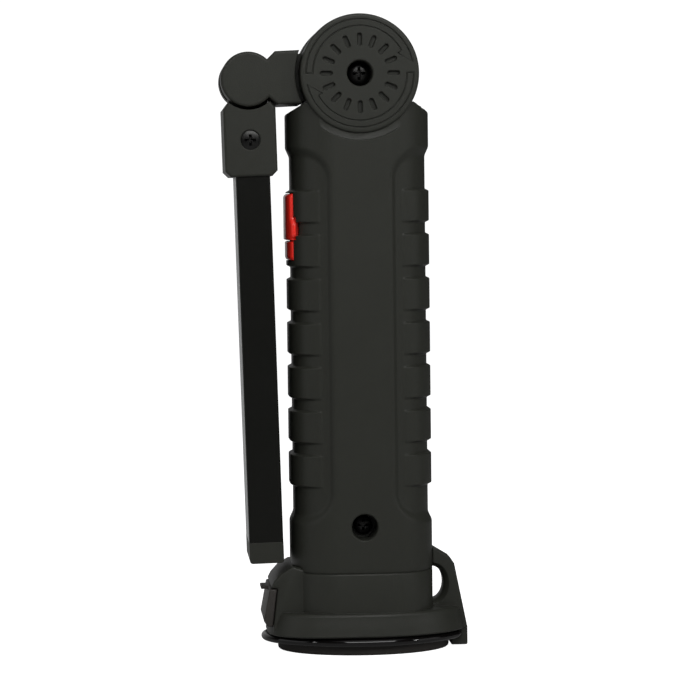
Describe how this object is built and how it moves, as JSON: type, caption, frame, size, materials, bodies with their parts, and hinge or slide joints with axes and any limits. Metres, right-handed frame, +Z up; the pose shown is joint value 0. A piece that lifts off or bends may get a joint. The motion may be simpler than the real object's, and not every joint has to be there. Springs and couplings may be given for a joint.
{
  "type": "folding work light",
  "caption": "Slim folding LED work light with a two-pivot blade, moulded grip, red switch, magnetic foot, fold-out bail and lanyard loop.",
  "frame": {"origin": "centre of the foot's resting face, on the grip's axis", "axes": "+Z up the grip, -X the front edge with the switch and the folded blade, -Y the near side with the screw heads"},
  "size_m": [0.0721, 0.0422, 0.1885],
  "materials": {
    "body_plastic": "fine satin moulded black",
    "black_screw": "black oxide",
    "steel": "turned steel",
    "red_plastic": "smooth red",
    "board": "solder mask green",
    "cell_wrap": "shrink sleeve",
    "inner_plastic": "moulded black",
    "nickel": "nickel plate",
    "lead_sleeve": "sleeved wires",
    "foot_rubber": "matte black rubber",
    "channel_metal": "black satin coat",
    "phosphor": "yellow phosphor",
    "frosted_lens": "frosted cover",
    "cover_rubber": "soft black rubber",
    "bail_metal": "gloss black"
  },
  "bodies": {
    "grip": {"grip_shell_near": "body_plastic", "grip_shell_far": "body_plastic", "grip_screw": "black_screw", "hinge_bolt": "black_screw", "hinge_nut": "steel", "hinge_bush": "steel", "hinge_washers": "steel", "button_surround": "red_plastic", "tact_switch": "steel", "main_board": "board", "battery_cell": "cell_wrap", "cell_carrier": "inner_plastic", "cell_tabs": "nickel", "board_lead": "lead_sleeve", "charge_board": "board", "usb_socket": "nickel", "base_housing": "body_plastic", "foot_pad": "foot_rubber", "base_magnets": "nickel", "magnet_plate": "steel"},
    "arm": {"arm_near": "body_plastic", "arm_far": "body_plastic", "blade_pin": "steel", "blade_washers": "steel"},
    "blade": {"socket_near": "body_plastic", "socket_far": "body_plastic", "socket_screw": "black_screw", "blade_channel": "channel_metal", "led_board": "board", "led_strip": "phosphor", "blade_lens": "frosted_lens", "end_cap": "body_plastic"},
    "button": {"power_button": "red_plastic"},
    "cover": {"port_cover": "cover_rubber"},
    "bail": {"bail_wire": "bail_metal"}
  },
  "joints": [
    {"name": "arm_hinge", "type": "hinge", "parent": "grip", "child": "arm", "pos_m": [0, 0, 0.1711], "axis": [0, 1, 0], "range_deg": [0, 180]},
    {"name": "blade_hinge", "type": "hinge", "parent": "arm", "child": "blade", "pos_m": [-0.03247, 0, 0.1698], "axis": [0, 1, 0], "range_deg": [0, 180]},
    {"name": "button_press", "type": "slide", "parent": "grip", "child": "button", "axis": [1, 0, 0], "range_m": [0, 0.0008], "stiffness_N_per_m": 400, "springref_m": -0.001},
    {"name": "cover_hinge", "type": "hinge", "parent": "grip", "child": "cover", "pos_m": [-0.0287, 0, 0.0082], "axis": [0, -1, 0], "range_deg": [0, 100]},
    {"name": "bail_hinge", "type": "hinge", "parent": "grip", "child": "bail", "pos_m": [0.0286, 0, 0.004], "axis": [0, -1, 0], "range_deg": [0, 180]}
  ]
}
